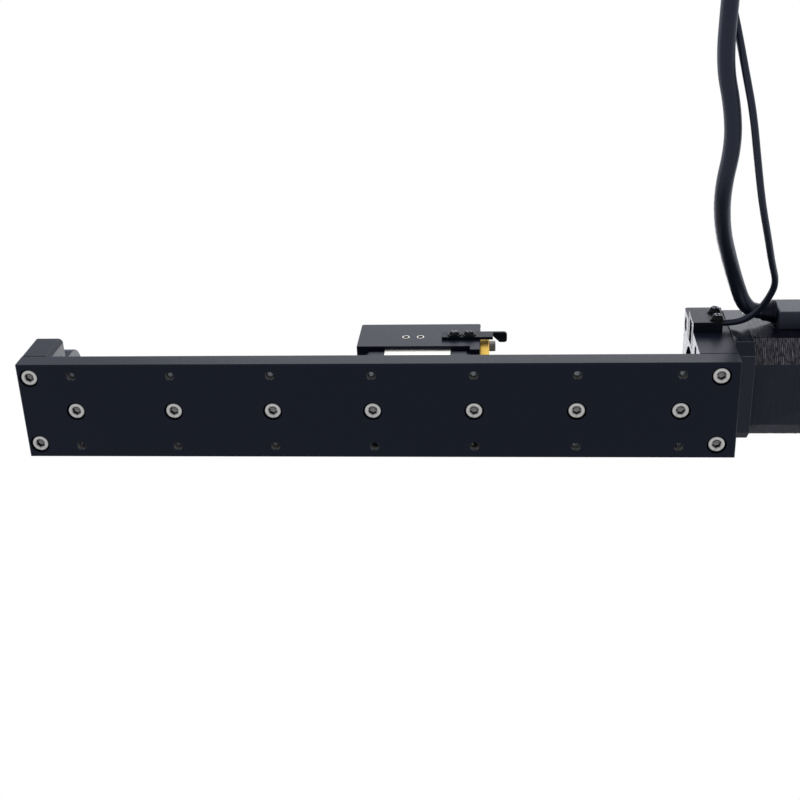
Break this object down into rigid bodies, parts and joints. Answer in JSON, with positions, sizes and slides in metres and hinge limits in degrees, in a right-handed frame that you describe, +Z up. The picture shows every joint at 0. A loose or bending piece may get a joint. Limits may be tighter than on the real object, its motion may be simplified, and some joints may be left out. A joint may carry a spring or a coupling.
{
  "type": "lead screw linear actuator",
  "caption": "Linear actuator: a square stepper motor turns a lead screw, which moves a carriage along a profile rail on a black base plate, with a home sensor.",
  "frame": {"origin": "middle of the base plate's bottom face, which is the middle of its rows of tapped holes", "axes": "+X along the rail towards the motor, +Z up through the carriage, -Y the side with the sensor"},
  "size_m": [0.3719, 0.2703, 0.057],
  "materials": {
    "black_anodised": "satin black anodised",
    "stainless_steel": "bright turned",
    "rail_steel": "ground",
    "bearing_steel": "polished",
    "spring_steel": "phosphated",
    "black_plastic": "moulded, matt",
    "black_steel": "black oxide",
    "motor_black": "black, satin",
    "motor_laminations": "stacked sheet, black",
    "copper_wire": "enamelled wire",
    "black_rubber": "moulded",
    "lead_jacket": "satin jacket",
    "tie_plastic": "nylon",
    "plug_plastic": "moulded",
    "nut_brass": "turned",
    "screw_steel": "rolled thread",
    "rotor_steel": "ground"
  },
  "bodies": {
    "base": {"base_plate": "black_anodised", "rail_screws": "stainless_steel", "end_block_screws": "stainless_steel", "motor_mount_screws": "stainless_steel", "linear_rail": "rail_steel", "end_block": "black_anodised", "end_bearing_outer_race": "bearing_steel", "bearing_retaining_ring": "spring_steel", "motor_mount": "black_anodised", "sensor_body": "black_plastic", "sensor_washers": "black_steel", "sensor_screws": "black_steel", "motor_front_cap": "motor_black", "motor_stator": "motor_laminations", "motor_coils": "copper_wire", "motor_rear_cap": "motor_black", "motor_face_screws": "stainless_steel", "motor_tie_screws": "stainless_steel", "front_bearing_outer_race": "bearing_steel", "rear_bearing_outer_race": "bearing_steel", "terminal_box": "black_plastic", "cable_gland": "black_rubber", "motor_lead": "lead_jacket", "motor_lead_coil": "lead_jacket", "motor_lead_tie": "tie_plastic", "motor_lead_plug": "plug_plastic", "sensor_lead": "lead_jacket", "sensor_lead_coil": "lead_jacket", "sensor_lead_tie": "tie_plastic", "sensor_lead_plug": "plug_plastic"},
    "carriage": {"carriage_body": "black_anodised", "guide_block_body": "rail_steel", "guide_end_cap_1": "black_plastic", "guide_end_cap_2": "black_plastic", "guide_seal_1": "black_rubber", "guide_seal_2": "black_rubber", "guide_balls": "bearing_steel", "guide_block_screws": "stainless_steel", "lead_nut": "nut_brass", "nut_screws": "stainless_steel", "flag_bracket": "black_steel", "flag_washers": "black_steel", "flag_screws": "black_steel"},
    "screw": {"lead_screw": "screw_steel", "motor_rotor": "rotor_steel", "end_bearing_inner_race": "bearing_steel", "front_bearing_inner_race": "bearing_steel", "rear_bearing_inner_race": "bearing_steel", "screw_retaining_ring": "spring_steel"}
  },
  "joints": [
    {"name": "screw_turn", "type": "hinge", "parent": "base", "child": "screw", "pos_m": [0, 0, 0.0355], "axis": [-1, 0, 0], "range_deg": [-10621, 6931]},
    {"name": "carriage_slide", "type": "slide", "parent": "base", "child": "carriage", "axis": [1, 0, 0], "range_m": [-0.118, 0.077]}
  ],
  "couplings": [
    {"joint": "screw_turn", "follows": "carriage_slide", "rad_per_m": 1570.8}
  ]
}
